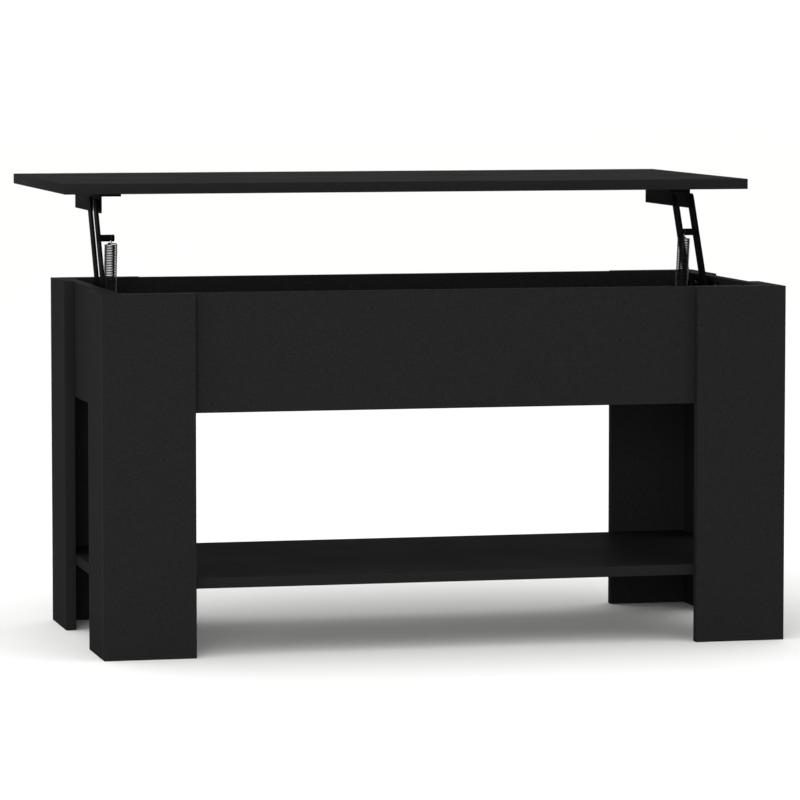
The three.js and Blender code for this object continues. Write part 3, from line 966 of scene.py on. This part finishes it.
def screwTree():
    # a pan-head screw with a cross slot and a coarse chipboard thread; its head sits on Z = 0 and faces up
    tree, given = newTree("crossHeadScrews", **treeSizes(screwShape))
    share, facets = screwShares, screwFacets
    radius, tall = given["HeadRadius"], given["HeadHeight"]
    ball = addNode(tree, "GeometryNodeMeshUVSphere", {
        "Segments": facets["head"], "Rings": facets["headRings"], "Radius": 1.0,
    }).outputs[0]
    dome = moved(tree, ball, scale=vector(tree, radius, radius, tall))
    room = times(tree, radius, 4.0)
    block = addNode(tree, "GeometryNodeMeshCube", {"Size": vector(tree, room, room, room)}).outputs[0]
    above = moved(tree, block, translation=vector(tree, z=times(tree, room, 0.5)))
    half = addNode(tree, "GeometryNodeMeshBoolean", {
        "Mesh 2": [dome, above],
    }, operation="INTERSECT", solver="EXACT")
    long, wide = times(tree, radius, share["slotLong"]), times(tree, radius, share["slotWide"])
    slot = crossSlot(tree, long, wide, times(tree, tall, share["slotDeep"]), tall)
    head = cutBy(tree, half.outputs[0], slot)
    core = times(tree, given["ShankRadius"], share["core"])
    straight = minus(tree, given["ShankLength"], given["Tip"])
    rod = addNode(tree, "GeometryNodeMeshCylinder", {
        "Vertices": facets["shank"], "Radius": core, "Depth": straight,
    }).outputs[0]
    shank = moved(tree, rod, translation=vector(tree, z=times(tree, straight, -0.5)))
    cone = addNode(tree, "GeometryNodeMeshCone", {
        "Vertices": facets["shank"], "Radius Top": core, "Radius Bottom": times(tree, core, share["point"]),
        "Depth": given["Tip"],
    }).outputs[0]
    tip = moved(tree, cone, translation=vector(tree, z=times(tree, given["ShankLength"], -1.0)))
    threadRadius = times(tree, given["ShankRadius"], share["thread"])
    turns = addNode(tree, "ShaderNodeMath", {0: straight, 1: given["Pitch"]}, operation="DIVIDE").outputs[0]
    helix = addNode(tree, "GeometryNodeCurveSpiral", {
        "Resolution": facets["shank"], "Rotations": turns,
        "Start Radius": threadRadius, "End Radius": threadRadius,
        "Height": minus(tree, straight, times(tree, given["Pitch"], 0.5)),
    }).outputs[0]
    ring = addNode(tree, "GeometryNodeCurvePrimitiveCircle", {
        "Resolution": 4, "Radius": times(tree, given["ShankRadius"], share["ridge"]),
    }).outputs[0]
    ridge = addNode(tree, "GeometryNodeCurveToMesh", {
        "Curve": helix, "Profile Curve": ring, "Fill Caps": True,
    })
    thread = moved(tree, ridge.outputs[0], translation=vector(tree, z=times(tree, straight, -1.0)))
    screw = addNode(tree, "GeometryNodeJoinGeometry", {"Geometry": [head, shank, tip, thread]}).outputs[0]
    endTree(tree, copiesFacing(tree, given["Geometry"], screw), blackZinc)
    return tree


def screwsPiece(name, body, nodes, facing):
    # all the screws on one body; each head rests where its CAD screw's head does
    headHeight = screwShape["headHeight"] * mm
    places, aims = [], []
    for node in nodes:
        low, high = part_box(node)
        aim = Vector(facing(node))
        centre = (low + high) / 2
        depth = abs((high - low).dot(aim))
        places.append(centre + aim * (depth / 2 - headHeight))
        aims.append(aim)
    sizes = {**treeSizes(screwShape), "ShankLength": depth - headHeight}
    screws = grow(name, screwTree(), pointsMesh(name, places, aims), sizes)
    return finishPiece(screws, body, "black_zinc_screw", *nodes)


def towardsMiddle(node):
    return (-sides[node.split("_")[0]], 0, 0)


screwsPiece("base_bracket_screws", "table", wallScrews["left"] + wallScrews["right"], towardsMiddle)
screwsPiece("top_bracket_screws", "top", topScrews, lambda node: (0, 0, -1))
print("screws built")


camShape = {"radius": 7.5, "depth": 12.5, "slotLong": 9.0, "slotWide": 1.9, "slotDeep": 2.2, "rim": 0.5}  # mm


def camTree():
    # a cast cam fitting: a disc let in flush, with a cross slot and a shallow dished face
    tree, given = newTree("camFittings", **treeSizes(camShape))
    radius, depth = given["Radius"], given["Depth"]
    facets = 48
    disc = addNode(tree, "GeometryNodeMeshCylinder", {
        "Vertices": facets, "Radius": radius, "Depth": depth,
    }).outputs[0]
    body = moved(tree, disc, translation=vector(tree, z=times(tree, depth, -0.5)))
    dishRadius = minus(tree, radius, times(tree, given["Rim"], 2.0))
    dish = addNode(tree, "GeometryNodeMeshCylinder", {
        "Vertices": facets, "Radius": dishRadius, "Depth": given["Rim"],
    }).outputs[0]
    slot = crossSlot(tree, given["SlotLong"], given["SlotWide"], given["SlotDeep"], 0.0)
    endTree(tree, copiesFacing(tree, given["Geometry"], cutBy(tree, body, [dish, *slot])), castZinc)
    return tree


camPlaces = [Vector((middle(node).x, middle(node).y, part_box(node)[0].z)) for node in camNodes]
camPoints = pointsMesh("shelf_cams", camPlaces, [(0, 0, -1)] * len(camPlaces))
shelfCams = grow("shelf_cams", camTree(), camPoints, treeSizes(camShape))
finishPiece(shelfCams, "table", "zinc_fastener", *camNodes)
print("cams built")


studio = {
    "floorSize": 60.0,  # metres
    "floorDark": "#f4f4f2", "floorLight": "#f8f8f7",
    "floorMottle": 400,  # mm
    "floorRough": 0.8,
    "worldStrength": 1.08,
    "softboxes": [
        # name, place, size, watts, aimed at
        ("frontSoftbox", (-1.8, -4.6, 0.9), 1.6, 103, (0, 0, 0.25)),
        ("overheadSoftbox", (-0.6, 0.4, 3.4), 2.6, 20, (0, 0, 0.4)),
        ("leftSoftbox", (-3.6, -0.4, 1.8), 2.4, 22, (0, 0, 0.3)),
    ],
}


def floorMaterial():
    # pale painted studio floor, faintly mottled
    made, tree, principled, place = newMaterial("studioFloor", Roughness=studio["floorRough"])
    mottled = noise(tree, place, studio["floorMottle"])
    dress(tree, principled, {
        "Base Color": twoColours(tree, mottled, studio["floorDark"], studio["floorLight"]),
    })
    return made


def buildStage():
    half = studio["floorSize"] / 2
    mesh = bpy.data.meshes.new("studioFloor")
    corners = [(-half, -half, 0), (half, -half, 0), (half, half, 0), (-half, half, 0)]
    mesh.from_pydata(corners, [], [(0, 1, 2, 3)])
    mesh.materials.append(floorMaterial())
    newObject("studioFloor", mesh)
    world = bpy.data.worlds.new("studio")
    bpy.context.scene.world = world
    world.use_nodes = True
    background = world.node_tree.nodes["Background"]
    background.inputs["Color"].default_value = (1, 1, 1, 1)
    background.inputs["Strength"].default_value = studio["worldStrength"]
    for name, place, size, watts, target in studio["softboxes"]:
        light = bpy.data.lights.new(name, "AREA")
        light.size = size
        light.energy = watts
        lamp = newObject(name, light)
        lamp.location = place
        lamp.rotation_euler = (Vector(target) - Vector(place)).to_track_quat("-Z", "Y").to_euler()
        lamp.visible_camera = False
    bpy.context.scene.view_settings.view_transform = "Standard"


view = {
    "place": (-1.5092, -6.4307, 0.8649),
    "heading": 13.317,  # degrees to the right of +Y
    "downTilt": 4.688,
    "lens": 202.64, "sensor": 36.0,  # mm
    "sees": 200.0,  # metres
}


def buildCamera():
    camera = bpy.data.cameras.new("productCamera")
    camera.lens = view["lens"]
    camera.sensor_width = view["sensor"]
    camera.clip_end = view["sees"]
    holder = newObject("productCamera", camera)
    holder.location = view["place"]
    holder.rotation_euler = (math.radians(90 - view["downTilt"]), 0, math.radians(-view["heading"]))
    bpy.context.scene.camera = holder


buildStage()
buildCamera()
print("stage, lights and camera ready")
